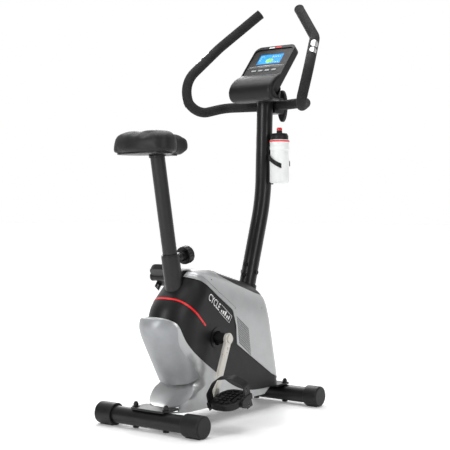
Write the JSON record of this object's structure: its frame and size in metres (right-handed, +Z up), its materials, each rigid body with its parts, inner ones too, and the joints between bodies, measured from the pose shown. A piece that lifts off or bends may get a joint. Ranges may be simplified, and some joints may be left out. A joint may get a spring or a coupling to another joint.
{
  "type": "exercise bike",
  "caption": "Upright magnetic exercise bike with a height-adjustable saddle, strapped pedals, tilting handlebar, tilted display console and bottle holder.",
  "frame": {"origin": "on the floor, under the middle of the bike's bounding box", "axes": "+X the way the rider faces, +Y to the rider's left, +Z up"},
  "size_m": [0.756, 0.4966, 1.2881],
  "materials": {
    "black_steel": "satin black powder coat",
    "black_plastic": "fine grained black",
    "silver_plastic": "silver lacquer",
    "grey_plastic": "satin grey",
    "red_plastic": "bright red",
    "white_plastic": "translucent-looking white",
    "bolt_steel": "zinc plated",
    "ivory_steel": "pale ivory coat",
    "cast_flywheel": "machined grey",
    "belt_rubber": "ribbed black",
    "strap_rubber": "smooth black",
    "grip_foam": "closed foam, matt",
    "saddle_cover": "black vinyl with a fine grain",
    "sensor_plate": "bright contact plates",
    "display_glass": "lit blue display"
  },
  "bodies": {
    "frame": {"stabiliser_tubes": "black_steel", "stabiliser_bolts": "black_steel", "stabiliser_caps": "black_plastic", "bottom_beam": "black_steel", "seat_tube": "black_steel", "seat_tube_bush": "black_plastic", "crank_housing": "black_steel", "bearings": "bolt_steel", "front_upright": "black_steel", "front_post": "black_steel", "frame_screws": "black_steel", "post_collar": "black_plastic", "flywheel_bracket": "black_steel", "drive_belt": "belt_rubber", "resistance_motor": "black_plastic", "shell_right": "black_plastic", "shell_left": "black_plastic", "crank_trim_rings": "black_plastic", "front_cover_left": "silver_plastic", "front_cover_right": "silver_plastic", "rear_cover": "silver_plastic", "rear_panel": "grey_plastic", "red_stripe": "red_plastic", "handlebar_clamp": "black_plastic", "console_body": "black_plastic", "display": "display_glass", "console_hood": "black_plastic", "console_bracket": "black_steel", "bottle_cage": "black_plastic"},
    "crank": {"crank_axle": "black_steel", "crank_arms": "ivory_steel", "pedal_spindles": "bolt_steel", "crank_bolt_caps": "ivory_steel", "drive_pulley": "grey_plastic"},
    "right_pedal": {"pedal_right": "black_plastic", "pedal_strap_right": "strap_rubber"},
    "left_pedal": {"pedal_left": "black_plastic", "pedal_strap_left": "strap_rubber"},
    "flywheel_assembly": {"flywheel": "cast_flywheel", "flywheel_shaft": "bolt_steel"},
    "magnet_carrier": {"magnet_bracket": "black_steel", "brake_magnets": "bolt_steel"},
    "seat": {"seat_post": "black_steel", "seat_pan": "black_plastic", "saddle": "saddle_cover"},
    "height_pin": {"seat_pin": "bolt_steel"},
    "height_knob": {"seat_knob": "black_plastic"},
    "handlebar": {"handlebar_tube": "black_steel", "grips": "grip_foam", "grip_caps": "black_plastic", "pulse_sensors": "sensor_plate"},
    "tilt_knob": {"clamp_knob": "black_plastic"},
    "button_1": {"console_button_1": "grey_plastic"},
    "button_2": {"console_button_2": "grey_plastic"},
    "button_3": {"console_button_3": "grey_plastic"},
    "button_4": {"console_button_4": "grey_plastic"},
    "bottle": {"bottle_body": "white_plastic"},
    "bottle_lid": {"bottle_cap": "black_plastic"},
    "bottle_spout": {"bottle_nozzle": "red_plastic"}
  },
  "joints": [
    {"name": "crank_turn", "type": "hinge", "parent": "frame", "child": "crank", "pos_m": [-0.091, 0, 0.2475], "axis": [0, 1, 0], "continuous": true},
    {"name": "right_pedal_turn", "type": "hinge", "parent": "crank", "child": "right_pedal", "pos_m": [-0.15892, -0.175, 0.08189], "axis": [0, 1, 0], "continuous": true},
    {"name": "left_pedal_turn", "type": "hinge", "parent": "crank", "child": "left_pedal", "pos_m": [-0.02308, 0.175, 0.41311], "axis": [0, 1, 0], "continuous": true},
    {"name": "flywheel_turn", "type": "hinge", "parent": "frame", "child": "flywheel_assembly", "pos_m": [0.066, 0, 0.185], "axis": [0, 1, 0], "continuous": true},
    {"name": "magnet_lift", "type": "hinge", "parent": "frame", "child": "magnet_carrier", "pos_m": [0.1322, 0, 0.2367], "axis": [0, 1, 0], "range_deg": [0, 8]},
    {"name": "seat_height", "type": "slide", "parent": "frame", "child": "seat", "axis": [-0.1936, 0, 0.9811], "range_m": [-0.15, 0.075]},
    {"name": "pin_pull", "type": "slide", "parent": "frame", "child": "height_pin", "axis": [0.9811, 0, 0.1935], "range_m": [0, 0.012], "stiffness_N_per_m": 900},
    {"name": "knob_turn", "type": "hinge", "parent": "height_pin", "child": "height_knob", "pos_m": [-0.14177, 0, 0.49036], "axis": [0.9811, 0, 0.1935], "continuous": true},
    {"name": "handlebar_tilt", "type": "hinge", "parent": "frame", "child": "handlebar", "pos_m": [0.304, 0, 0.9615], "axis": [0, 1, 0], "range_deg": [-20, 15]},
    {"name": "tilt_knob_turn", "type": "hinge", "parent": "frame", "child": "tilt_knob", "pos_m": [0.359, 0, 0.966], "axis": [1, 0, 0], "continuous": true},
    {"name": "button_1_press", "type": "slide", "parent": "frame", "child": "button_1", "axis": [0.7547, 0, -0.6561], "range_m": [0, 0.001], "stiffness_N_per_m": 400},
    {"name": "button_2_press", "type": "slide", "parent": "frame", "child": "button_2", "axis": [0.7547, 0, -0.6561], "range_m": [0, 0.001], "stiffness_N_per_m": 400},
    {"name": "button_3_press", "type": "slide", "parent": "frame", "child": "button_3", "axis": [0.7547, 0, -0.6561], "range_m": [0, 0.001], "stiffness_N_per_m": 400},
    {"name": "button_4_press", "type": "slide", "parent": "frame", "child": "button_4", "axis": [0.7547, 0, -0.6561], "range_m": [0, 0.001], "stiffness_N_per_m": 400},
    {"name": "bottle_lift", "type": "slide", "parent": "frame", "child": "bottle", "axis": [0, 0, 1], "range_m": [0, 0.072]},
    {"name": "bottle_cap_turn", "type": "hinge", "parent": "bottle", "child": "bottle_lid", "pos_m": [0.257, -0.062, 0.856], "axis": [0, 0, 1], "continuous": true},
    {"name": "spout_pull", "type": "slide", "parent": "bottle_lid", "child": "bottle_spout", "axis": [0, 0, 1], "range_m": [0, 0.006]}
  ],
  "couplings": [
    {"joint": "flywheel_turn", "follows": "crank_turn", "ratio": 4.3182}
  ]
}
